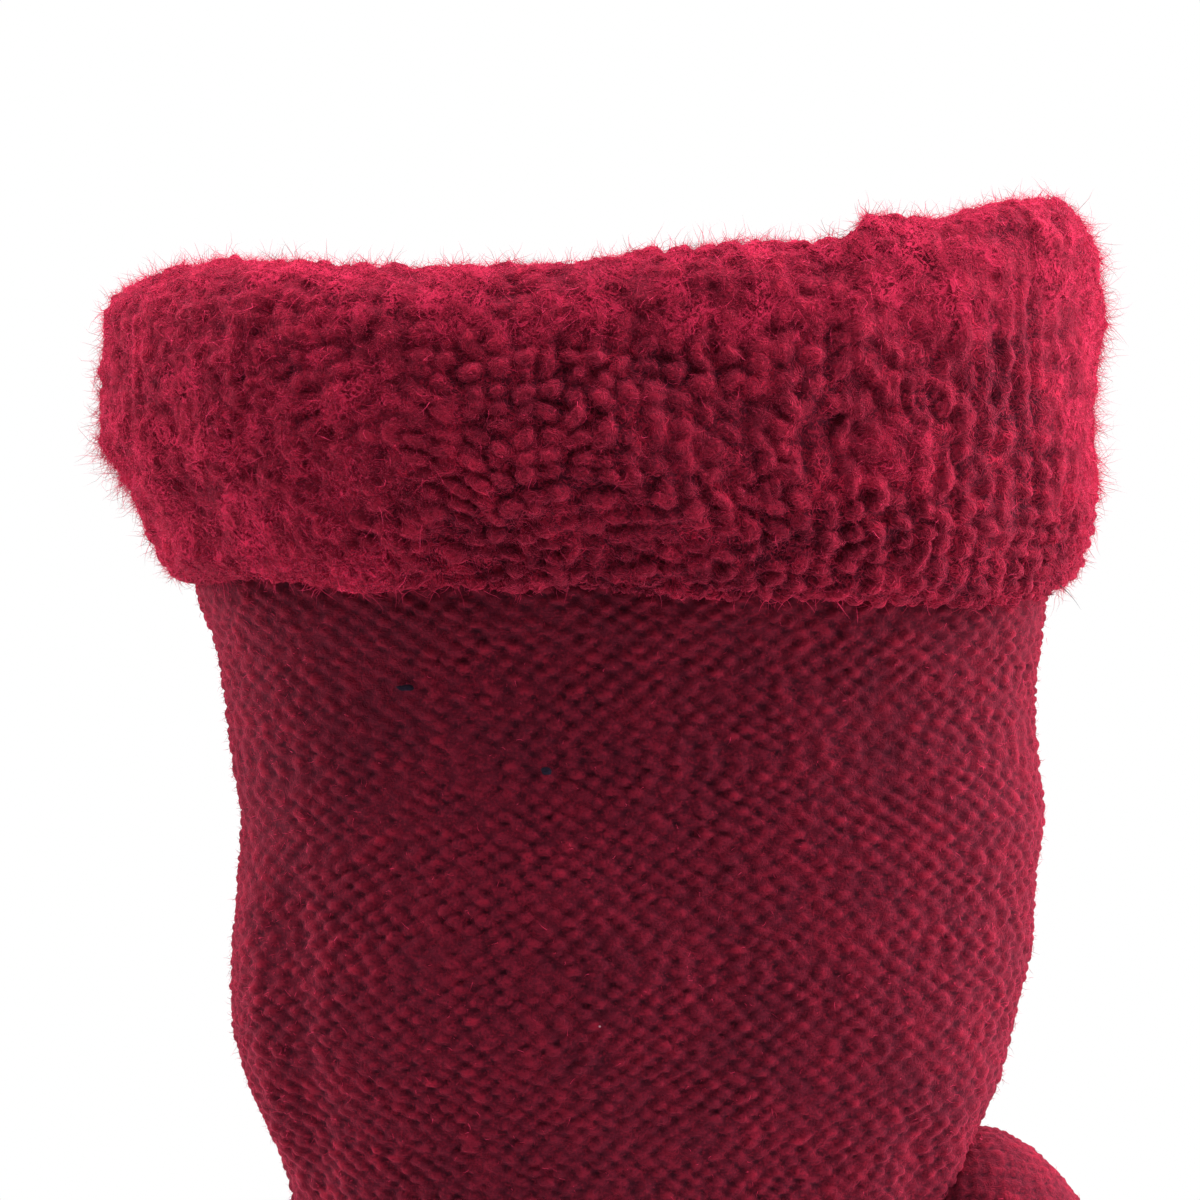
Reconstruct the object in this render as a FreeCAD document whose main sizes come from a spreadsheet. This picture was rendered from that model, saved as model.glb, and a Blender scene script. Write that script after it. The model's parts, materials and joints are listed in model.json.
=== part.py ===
import FreeCAD, Part
import math
import os

import Sketcher
from FreeCAD import Placement, Rotation, Vector

# A knitted glove for a right hand, held up by its mouth with the fingers hanging down.
# Origin: centre of the mouth, level with the fold at the top of the turned-up cuff.
# +Z points out of the mouth, +X towards the thumb, +Y towards the palm; millimetres.
#
# The fabric has two layers everywhere: a plain knitted ground ("shell" outside) and a
# brushed pile ("lining" inside). At the mouth it folds outwards and down over itself, so the
# cuff shows the brushed face. The glove folds at the wrist, and each digit folds at its root
# and at its middle. Each fold is a hinge: both sides are cut back in a V, palm side and back
# side, by half of the angle that the fold can take.

doc = FreeCAD.newDocument("glove")

# ---------------------------------------------------------------- driving dimensions

DIMENSIONS = [
    # fabric
    ("knit_wall", 1.6, "thickness of the plain knitted ground"),
    ("pile_wall", 1.4, "thickness of the brushed pile inside"),
    ("layer_gap", 0.15, "room between two layers of fabric"),
    ("hinge_gap", 0.5, "room across a fold, at its axis"),
    # cuff, turned up
    ("cuff_height", 31.0, "from the fold at the top to the hem"),
    ("fold_height", 4.0, "height of the rounded fold above the wrist shell's edge"),
    ("cuff_pile_wall", 3.0, "thickness of the brushed pile outside on the cuff"),
    ("cuff_flare", 3.4, "how far the cuff stands off the wrist at half its height"),
    ("hem_radius", 1.7, "radius of the overlocked hem"),
    # wrist: half widths and half depths down its length
    ("wrist_length", 78.0, "from the mouth to the wrist fold"),
    ("mouth_wide", 37.6, "half width at the mouth"),
    ("mouth_deep", 20.6, "half depth at the mouth"),
    ("waist_wide", 36.1, "half width at the waist below the cuff"),
    ("waist_deep", 19.6, "half depth at the waist"),
    ("waist_share", 0.62, "level of the waist, as a share of wrist_length"),
    ("swell_wide", 36.2, "half width of the swell above the wrist"),
    ("swell_deep", 19.6, "half depth of the swell"),
    ("swell_share", 0.82, "level of the swell, as a share of wrist_length"),
    ("wrist_wide", 32.8, "half width at the wrist fold"),
    ("wrist_deep", 18.0, "half depth at the wrist fold"),
    # hand
    ("hand_length", 78.0, "from the wrist fold to the forks between the fingers"),
    ("narrow_wide", 30.0, "half width at the elastic threads"),
    ("narrow_deep", 17.0, "half depth at the elastic threads"),
    ("narrow_drop", 11.0, "from the wrist fold to the elastic threads"),
    ("palm_wide", 35.8, "half width at the thumb's web"),
    ("palm_deep", 15.0, "half depth at the thumb's web"),
    ("palm_drop", 46.0, "from the wrist fold to the thumb's web"),
    ("knuckle_deep", 10.6, "half depth at the forks"),
    ("elastic_radius", 0.45, "radius of one covered elastic thread"),
    ("elastic_pitch", 1.9, "from one elastic thread to the next"),
    # care label, blank
    ("label_width", 13.0, ""),
    ("label_length", 24.0, ""),
    ("label_thick", 0.35, ""),
    ("label_drop", 34.0, "from the mouth to the label's sewn edge"),
    # fingers
    ("finger_gap", 0.7, "room between two fingers at their roots"),
    ("root_drop", 6.0, "from the forks to the root folds"),
    ("stub_length", 14.0, "how far a finger runs up into the hand above the forks"),
    ("index_radius", 9.8, ""),
    ("index_root", 31.0, "from the root fold to the middle fold"),
    ("index_tip", 20.0, "from the middle fold to the centre of the rounded tip"),
    ("index_splay", 4.0, "degrees towards the thumb"),
    ("middle_radius", 10.0, ""),
    ("middle_root", 35.0, ""),
    ("middle_tip", 24.0, ""),
    ("middle_splay", 1.0, "degrees towards the thumb"),
    ("ring_radius", 9.6, ""),
    ("ring_root", 32.0, ""),
    ("ring_tip", 22.0, ""),
    ("ring_splay", 2.0, "degrees away from the thumb"),
    ("little_radius", 8.8, ""),
    ("little_root", 25.0, ""),
    ("little_tip", 17.0, ""),
    ("little_splay", 6.0, "degrees away from the thumb"),
    ("little_raise", 7.0, "how much nearer to the wrist the little finger starts"),
    # thumb
    ("thumb_radius", 10.6, ""),
    ("heel_radius", 9.0, "radius of the rounded heel that the thumb grows from"),
    ("heel_out", 31.0, "the heel's centre, out from the glove's axis"),
    ("heel_drop", 10.4, "the heel's centre, below the wrist fold"),
    ("thumb_stub", 36.0, "from the heel's centre to the thumb's root fold"),
    ("thumb_root", 24.0, ""),
    ("thumb_tip", 15.0, ""),
    ("thumb_splay", 32.0, "degrees out from the glove's axis"),
    # folds, in degrees
    ("wrist_fold_palm", 40.0, "how far the hand folds to the palm side"),
    ("wrist_fold_back", 20.0, "how far it folds to the back"),
    ("root_fold_palm", 80.0, "how far a finger folds at its root"),
    ("root_fold_back", 10.0, ""),
    ("middle_fold_palm", 90.0, "how far a finger folds at its middle"),
    ("middle_fold_back", 4.0, ""),
    ("thumb_fold_palm", 50.0, "how far the thumb folds at its root"),
    ("thumb_fold_back", 10.0, ""),
    ("thumb_bend_palm", 70.0, "how far the thumb folds at its middle"),
    ("thumb_bend_back", 4.0, ""),
    # closed tips
    ("gather_radius", 2.3, "radius of the drawn-up ring of stitches at a tip"),
    ("gather_thread", 0.8, "radius of that ring's own section"),
]

sheet = doc.addObject("Spreadsheet::Sheet", "Dims")
for row, (alias, value, note) in enumerate(DIMENSIONS, start=1):
    sheet.set(f"A{row}", alias.replace("_", " "))
    sheet.set(f"B{row}", str(value))
    sheet.setAlias(f"B{row}", alias)
    sheet.set(f"C{row}", note)
doc.recompute()

parts = {}  # node name -> document object


def keep(name, thing):
    """Marks a finished sub-part: its label is the node's name."""
    thing.Label = name
    parts[name] = thing
    return thing


def bind(thing, **sizes):
    """Binds properties to expressions over the sheet; x__y stands for x.y."""
    for prop, expression in sizes.items():
        thing.setExpression(prop.replace("__", "."), expression)
    return thing


def add(kind, name, **sizes):
    return bind(doc.addObject(kind, name), **sizes)


def cut(name, base, tool):
    made = doc.addObject("Part::Cut", name)
    made.Base, made.Tool = base, tool
    return made


def fuse(name, things):
    made = doc.addObject("Part::MultiFuse", name)
    made.Shapes = things
    return made


# ---------------------------------------------------------------- places, as expressions

WRIST_Z = "(-Dims.wrist_length)"
FORK_Z = "(-Dims.wrist_length - Dims.hand_length)"
ROOT_Z = f"({FORK_Z} - Dims.root_drop)"
SPAN = (
    "(2 * (Dims.index_radius + Dims.middle_radius + Dims.ring_radius + Dims.little_radius)"
    " + 3 * Dims.finger_gap)"
)
INDEX_X = f"({SPAN} / 2 - Dims.index_radius)"
MIDDLE_X = f"({INDEX_X} - Dims.index_radius - Dims.finger_gap - Dims.middle_radius)"
RING_X = f"({MIDDLE_X} - Dims.middle_radius - Dims.finger_gap - Dims.ring_radius)"
LITTLE_X = f"({RING_X} - Dims.ring_radius - Dims.finger_gap - Dims.little_radius)"
HEEL_Z = f"({WRIST_Z} - Dims.heel_drop)"
THUMB_X = "(Dims.heel_out + Dims.thumb_stub * sin(Dims.thumb_splay))"
THUMB_Z = f"({HEEL_Z} - Dims.thumb_stub * cos(Dims.thumb_splay))"

# Each digit: the place of its root fold, and the side it leans to (+1 is the thumb's side).
DIGITS = {
    "index": (INDEX_X, ROOT_Z, +1),
    "middle": (MIDDLE_X, ROOT_Z, +1),
    "ring": (RING_X, ROOT_Z, -1),
    "little": (LITTLE_X, f"({ROOT_Z} + Dims.little_raise)", -1),
    "thumb": (THUMB_X, THUMB_Z, +1),
}
FINGERS = [digit for digit in DIGITS if digit != "thumb"]

# Layers of the fabric: how far each one's two faces lie inside the glove's outer face.
LAYERS = {
    "shell": ("0", "Dims.knit_wall"),
    "lining": (
        "(Dims.knit_wall + Dims.layer_gap)",
        "(Dims.knit_wall + Dims.layer_gap + Dims.pile_wall)",
    ),
}
LINING_IN = LAYERS["lining"][1]


def lean(thing, digit, along="0"):
    """Puts a thing in a digit's own frame: +Z back along the digit, origin a length along it."""
    x, z, side = DIGITS[digit]
    thing.Placement = Placement(Vector(), Rotation(Vector(0, -side, 0), 1))
    return bind(
        thing,
        Placement__Rotation__Angle=f"Dims.{digit}_splay",
        Placement__Base__x=f"{x} + {side} * ({along}) * sin(Dims.{digit}_splay)",
        Placement__Base__z=f"{z} - ({along}) * cos(Dims.{digit}_splay)",
    )


# ---------------------------------------------------------------- flattened round sections


def flat_round(name, level, wide, deep):
    """A level outline with half-round ends, from its half width and half depth."""
    outline = doc.addObject("Sketcher::SketchObject", name)
    centre, radius, quarter = 12.0, 9.0, math.pi / 2
    for x, start in ((centre, -quarter), (-centre, quarter)):
        circle = Part.Circle(Vector(x, 0, 0), Vector(0, 0, 1), radius)
        outline.addGeometry(Part.ArcOfCircle(circle, start, start + 2 * quarter))
    for side in (1, -1):
        ends = Vector(side * centre, side * radius, 0), Vector(-side * centre, side * radius, 0)
        outline.addGeometry(Part.LineSegment(*ends))
    rule = Sketcher.Constraint
    outline.addConstraint(
        [
            rule("Tangent", 0, 2, 2, 1),
            rule("Tangent", 2, 2, 1, 1),
            rule("Tangent", 1, 2, 3, 1),
            rule("Tangent", 3, 2, 0, 1),
            rule("PointOnObject", 0, 3, -1),
            rule("Symmetric", 0, 3, 1, 3, -1, 1),
            rule("Equal", 0, 1),
        ]
    )
    outline.renameConstraint(outline.addConstraint(rule("Radius", 0, radius)), "deep")
    outline.renameConstraint(outline.addConstraint(rule("DistanceX", -1, 1, 0, 3, centre)), "reach")
    outline.setExpression("Constraints.deep", deep)
    outline.setExpression("Constraints.reach", f"({wide}) - ({deep})")
    outline.setExpression("Placement.Base.z", level)
    return outline


def tube_solid(name, stations, inset="0", top="0", bottom="0"):
    """A solid through flattened round sections, all inset alike. Its first and last sections
    are moved up or down by top and bottom."""
    sections = []
    for number, (level, wide, deep) in enumerate(stations):
        move = {0: top, len(stations) - 1: bottom}.get(number, "0")
        outline = flat_round(
            f"{name}_outline_{number}",
            f"{level} + ({move})",
            f"{wide} - ({inset})",
            f"{deep} - ({inset})",
        )
        sections.append(outline)
    solid = doc.addObject("Part::Loft", name)
    solid.Sections = sections
    solid.Solid = True
    solid.Ruled = False
    return solid


def ring_bar(name, level, wide, deep, radius):
    """A round bar bent into a closed ring along a flattened round outline."""
    line = flat_round(f"{name}_line", level, wide, deep)
    section = doc.addObject("Part::Circle", f"{name}_section")
    section.Placement = Placement(Vector(), Rotation(Vector(0, 1, 0), 90))
    bind(
        section,
        Radius=radius,
        Placement__Base__x=f"({wide}) - ({deep})",
        Placement__Base__y=f"-({deep})",
        Placement__Base__z=level,
    )
    bar = doc.addObject("Part::Sweep", name)
    bar.Sections = [section]
    bar.Spine = (line, ["Edge1", "Edge2", "Edge3", "Edge4"])
    bar.Solid = True
    return bar


# ---------------------------------------------------------------- folds


def v_half(name, half_wide, reach, angle, side, up):
    """Half of the V cut at a fold: on its palm side (+1) or back side (-1), above the fold's
    axis (up +1) or below it (-1). The axis is local X."""
    shallow = "Dims.hinge_gap / 2"
    deep = f"({shallow} + ({reach}) * tan(({angle}) / 2))"
    wedge = add("Part::Wedge", name)
    bind(wedge, Ymin="0" if side > 0 else f"-({reach})", Ymax=reach if side > 0 else "0")
    # a wedge's two ends: Z and X at Ymin, Z2 and X2 at Ymax
    for number, height in (("", shallow), ("2", deep)) if side > 0 else (("", deep), ("2", shallow)):
        low, high = ("-4 * Dims.hinge_gap", height) if up > 0 else (f"-{height}", "4 * Dims.hinge_gap")
        sizes = {f"Z{number}min": low, f"Z{number}max": high}
        sizes.update({f"X{number}min": f"-({half_wide})", f"X{number}max": half_wide})
        bind(wedge, **sizes)
    return wedge


def v_cut(name, half_wide, reach, palm, back, up):
    """Both halves of the V cut at a fold."""
    return [
        v_half(f"{name}_palm", half_wide, reach, palm, 1, up),
        v_half(f"{name}_back", half_wide, reach, back, -1, up),
    ]


def wrist_v(name, up):
    halves = v_cut(
        name,
        "Dims.mouth_wide + Dims.heel_out",
        "Dims.mouth_deep + 4",
        "Dims.wrist_fold_palm",
        "Dims.wrist_fold_back",
        up,
    )
    return [bind(half, Placement__Base__z=WRIST_Z) for half in halves]


def digit_v(name, digit, fold, up, along="0"):
    """The V at a digit's root fold or middle fold."""
    if digit == "thumb":
        fold = {"root_fold": "thumb_fold", "middle_fold": "thumb_bend"}[fold]
    halves = v_cut(
        name,
        f"Dims.{digit}_radius + Dims.finger_gap / 2",
        f"Dims.{digit}_radius + 4",
        f"Dims.{fold}_palm",
        f"Dims.{fold}_back",
        up,
    )
    return [lean(half, digit, along) for half in halves]


# ---------------------------------------------------------------- wrist

# (level, half width, half depth) of the glove's outer face, from top to bottom
WRIST_STATIONS = [
    ("0", "Dims.mouth_wide", "Dims.mouth_deep"),
    ("-Dims.cuff_height", "Dims.mouth_wide", "Dims.mouth_deep"),
    ("-Dims.wrist_length * Dims.waist_share", "Dims.waist_wide", "Dims.waist_deep"),
    ("-Dims.wrist_length * Dims.swell_share", "Dims.swell_wide", "Dims.swell_deep"),
    (WRIST_Z, "Dims.wrist_wide", "Dims.wrist_deep"),
]
# the brushed lining runs up further than the plain shell, to meet the pile of the cuff
WRIST_TOPS = {"shell": "-Dims.fold_height", "lining": "-(Dims.pile_wall + 2 * Dims.layer_gap)"}

for layer, (outer, inner) in LAYERS.items():
    name = f"wrist_{layer}"
    body = tube_solid(f"{name}_body", WRIST_STATIONS, outer, top=WRIST_TOPS[layer])
    bore = tube_solid(f"{name}_bore", WRIST_STATIONS, inner, top="1", bottom="-1")
    tube = cut(f"{name}_tube", body, bore)
    keep(name, cut(name, tube, fuse(f"{name}_fold", wrist_v(f"{name}_v", +1))))

# ---------------------------------------------------------------- cuff

GROUND_IN = "(4 * Dims.layer_gap)"
GROUND_OUT = f"({GROUND_IN} + Dims.knit_wall)"
PILE_IN = f"({GROUND_OUT} + Dims.layer_gap)"
PILE_OUT = f"({PILE_IN} + Dims.cuff_pile_wall)"
CROWN = "-Dims.pile_wall"


def cuff_solid(name, crown, out, run_on="0"):
    """One face of the cuff: it swells out below the crown and draws in again at the hem."""
    rows = [
        (crown, f"({out}) * 0.4"),
        (f"{crown} - Dims.fold_height * 0.9", f"({out}) * 0.95"),
        ("-Dims.cuff_height / 2", f"({out}) + Dims.cuff_flare"),
        (f"-Dims.cuff_height + Dims.hem_radius - ({run_on})", out),
    ]
    stations = [(z, f"Dims.mouth_wide + {o}", f"Dims.mouth_deep + {o}") for z, o in rows]
    return tube_solid(name, stations)


# the cuff's ground: over the shell's edge and down outside it, a pocket's width off
pocket = cuff_solid("cuff_pocket", "-Dims.fold_height + 0.2", GROUND_IN, run_on="1")
ground_bore = tube_solid("cuff_ground_bore", WRIST_STATIONS, "Dims.knit_wall", top="Dims.fold_height")
shell_room = tube_solid(
    "cuff_shell_room", WRIST_STATIONS, "-Dims.layer_gap", top="-Dims.fold_height + Dims.layer_gap"
)
ground_room = fuse("cuff_ground_room", [pocket, shell_room, ground_bore])
keep("cuff_ground", cut("cuff_ground", cuff_solid("cuff_ground_face", CROWN, GROUND_OUT), ground_room))

pile_room = cuff_solid("cuff_pile_back", f"{CROWN} + Dims.layer_gap", PILE_IN, run_on="1")
pile_bore = tube_solid("cuff_pile_bore", WRIST_STATIONS, LINING_IN, top="Dims.fold_height")
wrist_room = tube_solid(
    "cuff_wrist_room", WRIST_STATIONS, "-Dims.layer_gap", top="-Dims.pile_wall - Dims.layer_gap"
)
pile_tool = fuse("cuff_pile_room", [pile_room, pile_bore, wrist_room])
keep("cuff_pile", cut("cuff_pile", cuff_solid("cuff_pile_face", "0", PILE_OUT), pile_tool))

# the overlocked hem, right under the cuff's two layers
HEM_OUT = f"({PILE_OUT} - Dims.hem_radius)"
hem = ring_bar(
    "cuff_hem",
    "-Dims.cuff_height - 0.1",
    f"Dims.mouth_wide + {HEM_OUT}",
    f"Dims.mouth_deep + {HEM_OUT}",
    "Dims.hem_radius",
)
keep("cuff_hem", hem)

# a blank care label, sewn flat to the lining at the back of the wrist
label = add(
    "Part::Box",
    "care_label",
    Length="Dims.label_width",
    Width="Dims.label_thick",
    Height="Dims.label_length",
    Placement__Base__x="-Dims.label_width / 2",
    Placement__Base__y=f"-(Dims.waist_deep - {LINING_IN} - Dims.layer_gap * 2)",
    Placement__Base__z="-Dims.label_drop - Dims.label_length",
)
keep("care_label", label)

# ---------------------------------------------------------------- hand

HAND_STATIONS = [
    (WRIST_Z, "Dims.wrist_wide", "Dims.wrist_deep"),
    (f"{WRIST_Z} - Dims.narrow_drop", "Dims.narrow_wide", "Dims.narrow_deep"),
    (f"{WRIST_Z} - Dims.palm_drop", "Dims.palm_wide", "Dims.palm_deep"),
    (FORK_Z, f"{SPAN} / 2", "Dims.knuckle_deep"),
]


def finger_stub(name, digit, inset, run_on):
    """A finger's start inside the hand: a round bar up from its root fold."""
    length = "Dims.stub_length + Dims.root_drop"
    sizes = {"Radius": f"Dims.{digit}_radius - ({inset})", "Height": f"{length} + ({run_on})"}
    return lean(add("Part::Cylinder", name, **sizes), digit, along=run_on)


def thumb_stub(name, inset, run_on):
    """The thumb's start: a cone from its root fold up to the rounded heel."""
    sizes = {
        "Radius1": f"Dims.thumb_radius - ({inset})",
        "Radius2": f"Dims.heel_radius - ({inset})",
        "Height": f"Dims.thumb_stub + ({run_on})",
    }
    cone = lean(add("Part::Cone", name, **sizes), "thumb", along=run_on)
    ball = add(
        "Part::Sphere",
        f"{name}_heel",
        Radius=f"Dims.heel_radius - ({inset})",
        Placement__Base__x="Dims.heel_out",
        Placement__Base__z=HEEL_Z,
    )
    return [cone, ball]


def hand_solid(name, inset, run_on):
    """The hand's outer or inner form. The forks between the fingers are closed by webs."""
    palm = tube_solid(f"{name}_palm", HAND_STATIONS, inset, bottom=inset)
    raised = add(
        "Part::Box",
        f"{name}_raised",
        Length="2 * Dims.little_radius + Dims.finger_gap / 2 + 10",
        Width="4 * Dims.knuckle_deep",
        Height="Dims.little_raise + 10",
        Placement__Base__x=f"{LITTLE_X} - Dims.little_radius - 10",
        Placement__Base__y="-2 * Dims.knuckle_deep",
        Placement__Base__z=f"{FORK_Z} - 10 + ({inset})",
    )
    bars = [finger_stub(f"{name}_{digit}", digit, inset, run_on) for digit in FINGERS]
    forks = cut(f"{name}_forks", palm, raised)
    return fuse(name, [forks, *bars, *thumb_stub(f"{name}_thumb", inset, run_on)])


for layer, (outer, inner) in LAYERS.items():
    name = f"hand_{layer}"
    walls = cut(
        f"{name}_walls",
        hand_solid(f"{name}_out", outer, "0"),
        hand_solid(f"{name}_in", inner, "1"),
    )
    folds = wrist_v(f"{name}_wrist_v", -1)
    for digit in DIGITS:
        folds += digit_v(f"{name}_{digit}_v", digit, "root_fold", +1)
    keep(name, cut(name, walls, fuse(f"{name}_folds", folds)))

# Elastic threads, run inside the lining round the narrowest courses.
THREAD_IN = f"({LINING_IN} + 2 * Dims.layer_gap + Dims.elastic_radius)"
for number in range(3):
    thread = ring_bar(
        f"elastic_{number}",
        f"{WRIST_Z} - Dims.narrow_drop + ({number - 1}) * Dims.elastic_pitch",
        f"Dims.narrow_wide - {THREAD_IN}",
        f"Dims.narrow_deep - {THREAD_IN}",
        "Dims.elastic_radius",
    )
    keep(f"elastic_{number}", thread)

# ---------------------------------------------------------------- fingers and thumb


def bar(name, digit, inset, length, along):
    """A round bar in a digit's frame, up from a length along it."""
    sizes = {"Radius": f"Dims.{digit}_radius - ({inset})", "Height": length}
    return lean(add("Part::Cylinder", name, **sizes), digit, along)


def tip_solid(name, digit, inset, run_on):
    """A digit's end: a round bar with a round end."""
    length = f"Dims.{digit}_root + Dims.{digit}_tip"
    shaft = bar(f"{name}_shaft", digit, inset, f"Dims.{digit}_tip + ({run_on})", length)
    end = add("Part::Sphere", f"{name}_end", Radius=f"Dims.{digit}_radius - ({inset})")
    return fuse(name, [shaft, lean(end, digit, length)])


for digit in DIGITS:
    root = f"Dims.{digit}_root"
    for layer, (outer, inner) in LAYERS.items():
        name = f"{digit}_root_{layer}"
        walls = cut(
            f"{name}_walls",
            bar(f"{name}_body", digit, outer, root, root),
            bar(f"{name}_bore", digit, inner, f"{root} + 2", f"{root} + 1"),
        )
        folds = digit_v(f"{name}_v", digit, "root_fold", -1)
        folds += digit_v(f"{name}_w", digit, "middle_fold", +1, along=root)
        keep(name, cut(name, walls, fuse(f"{name}_folds", folds)))

        name = f"{digit}_tip_{layer}"
        walls = cut(
            f"{name}_walls",
            tip_solid(f"{name}_body", digit, outer, "0"),
            tip_solid(f"{name}_bore", digit, inner, "1"),
        )
        fold = fuse(f"{name}_fold", digit_v(f"{name}_v", digit, "middle_fold", -1, along=root))
        keep(name, cut(name, walls, fold))

    # the stitches that close the tip, drawn up into a small ring that rests on its round end
    rest = f"sqrt((Dims.{digit}_radius + Dims.gather_thread + 0.05)^2 - Dims.gather_radius^2)"
    gather = add(
        "Part::Torus",
        f"{digit}_gather",
        Radius1="Dims.gather_radius",
        Radius2="Dims.gather_thread",
    )
    lean(gather, digit, f"Dims.{digit}_root + Dims.{digit}_tip + {rest}")
    keep(f"{digit}_gather", gather)

# ---------------------------------------------------------------- check and write

doc.recompute()
for thing in doc.Objects:
    if "Invalid" in thing.State or "Error" in thing.State:
        raise RuntimeError(f"{thing.Name} did not recompute: {thing.State}")
os.makedirs("parts", exist_ok=True)
for name, thing in parts.items():
    if thing.Shape.isNull() or not thing.Shape.isValid() or len(thing.Shape.Solids) != 1:
        raise RuntimeError(f"{name} is not one sound solid: {len(thing.Shape.Solids)} solids")
    thing.Shape.exportStep(f"parts/{name}.step")
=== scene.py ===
"""A knitted glove for the right hand: purl-face knit outside, brushed pile inside, and a wide
turned-up cuff that shows the pile. Lengths in this script are millimetres until mesh() makes
them metres. z is up, x points to the thumb, and the back of the hand faces -y."""

import json
import math

import bpy
import numpy as np
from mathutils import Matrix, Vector


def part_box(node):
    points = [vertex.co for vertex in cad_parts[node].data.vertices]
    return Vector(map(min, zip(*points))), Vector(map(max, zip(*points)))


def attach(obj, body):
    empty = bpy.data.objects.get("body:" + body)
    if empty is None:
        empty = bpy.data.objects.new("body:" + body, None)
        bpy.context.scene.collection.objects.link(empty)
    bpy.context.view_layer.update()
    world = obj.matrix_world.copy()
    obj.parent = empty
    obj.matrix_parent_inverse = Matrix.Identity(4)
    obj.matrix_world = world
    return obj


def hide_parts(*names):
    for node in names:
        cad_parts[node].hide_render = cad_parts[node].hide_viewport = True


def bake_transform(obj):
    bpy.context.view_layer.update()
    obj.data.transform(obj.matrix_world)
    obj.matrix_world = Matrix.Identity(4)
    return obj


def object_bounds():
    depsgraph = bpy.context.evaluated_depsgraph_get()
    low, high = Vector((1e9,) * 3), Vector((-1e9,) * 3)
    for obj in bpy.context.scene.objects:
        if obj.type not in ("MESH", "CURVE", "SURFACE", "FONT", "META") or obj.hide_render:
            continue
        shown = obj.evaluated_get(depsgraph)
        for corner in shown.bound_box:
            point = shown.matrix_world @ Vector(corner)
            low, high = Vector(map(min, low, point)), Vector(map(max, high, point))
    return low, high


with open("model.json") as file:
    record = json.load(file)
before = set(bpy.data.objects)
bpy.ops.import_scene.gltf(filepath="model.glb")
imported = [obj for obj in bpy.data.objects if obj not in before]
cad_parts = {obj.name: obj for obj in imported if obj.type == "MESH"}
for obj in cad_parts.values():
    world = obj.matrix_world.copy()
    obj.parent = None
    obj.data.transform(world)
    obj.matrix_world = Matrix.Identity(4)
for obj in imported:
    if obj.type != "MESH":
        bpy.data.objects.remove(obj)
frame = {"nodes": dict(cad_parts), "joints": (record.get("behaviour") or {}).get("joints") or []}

cad_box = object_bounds()
bpy.ops.object.select_all(action="DESELECT")

MM = 0.001
WALE = 2.34  # one column of stitches
COURSE = 1.67  # one row of stitches
AROUND = 74  # columns round the wrist and the hand
TURN = 2 * math.pi
Y_AXIS = np.array([0, 1.0, 0])  # from the back of the hand to the palm

# ------------------------------------------------------------------ camera

CAMERA_LENS = 150
CAMERA_LIFT = math.radians(4)
VIEW_CENTRE = Vector((-3.0, 0, -31.5)) * MM
VIEW_WIDTH = 108 * MM


def place_camera():
    data = bpy.data.cameras.new("camera")
    data.lens = CAMERA_LENS
    away = VIEW_WIDTH / 2 / (data.sensor_width / 2 / CAMERA_LENS)
    camera = bpy.data.objects.new("camera", data)
    camera.location = VIEW_CENTRE + away * Vector((0, -math.cos(CAMERA_LIFT), math.sin(CAMERA_LIFT)))
    camera.rotation_euler = (math.pi / 2 - CAMERA_LIFT, 0, 0)
    data.clip_start = 0.01
    bpy.context.scene.collection.objects.link(camera)
    bpy.context.scene.camera = camera


place_camera()

# ------------------------------------------------------------------ small helpers


def chance(i, j, salt):
    """A steady random number from 0 to 1 for each pair of whole numbers."""
    wave = np.sin(i * 127.1 + j * 311.7 + salt * 74.7) * 43758.5453
    return wave - np.floor(wave)


def swell(value, start, end):
    """0 before start, 1 after end, and a smooth rise in between."""
    t = np.clip((value - start) / (end - start), 0, 1)
    return t * t * (3 - 2 * t)


def hump(value, centre, wide):
    """1 where value is at centre, falling smoothly to about a third at wide to either side."""
    return np.exp(-(((value - centre) / wide) ** 2))


LAYER_STEP = 37  # sets the layers in drift() apart


def drift(points, scale, salt):
    """Soft uneven waves from -1 to 1 through space, so that pieces that meet agree."""
    place = points / np.array(scale) + salt * 7.31
    cell = np.floor(place)
    part = place - cell
    part = part * part * (3 - 2 * part)
    total = 0
    for dx in (0, 1):
        for dy in (0, 1):
            for dz in (0, 1):
                share = 1
                for k, step in enumerate((dx, dy, dz)):
                    share = share * (part[..., k] if step else 1 - part[..., k])
                i, j = cell[..., 0] + dx + LAYER_STEP * (cell[..., 2] + dz), cell[..., 1] + dy
                total = total + share * chance(i, j, salt)
    return total * 2 - 1


def through(stations, count):
    """A smooth run of rows through the given stations, evenly spaced along their length."""
    rows = np.array(stations, float)
    gaps = np.sqrt((np.diff(rows[:, :4], axis=0) ** 2).sum(1))
    place = np.concatenate([[0], np.cumsum(np.maximum(gaps, 1e-6))])
    slopes = np.gradient(rows, place, axis=0)
    want = np.linspace(0, place[-1], count)
    k = np.clip(np.searchsorted(place, want, side="right") - 1, 0, len(place) - 2)
    step = (place[k + 1] - place[k])[:, None]
    t = (want - place[k])[:, None] / step
    a, b = rows[k], rows[k + 1]
    p, q = slopes[k] * step, slopes[k + 1] * step
    from_a = a * (2 * t**3 - 3 * t**2 + 1) + p * (t**3 - 2 * t**2 + t)
    return from_a + b * (3 * t**2 - 2 * t**3) + q * (t**3 - t**2)


def run_along(path):
    """How far each row of a smooth run lies from its first row, measured down the side."""
    return np.concatenate([[0], np.cumsum(np.hypot(np.diff(path[:, 0]), np.diff(path[:, 3])))])


FINE = 720  # steps round a whole section, to measure its girth by


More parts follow.
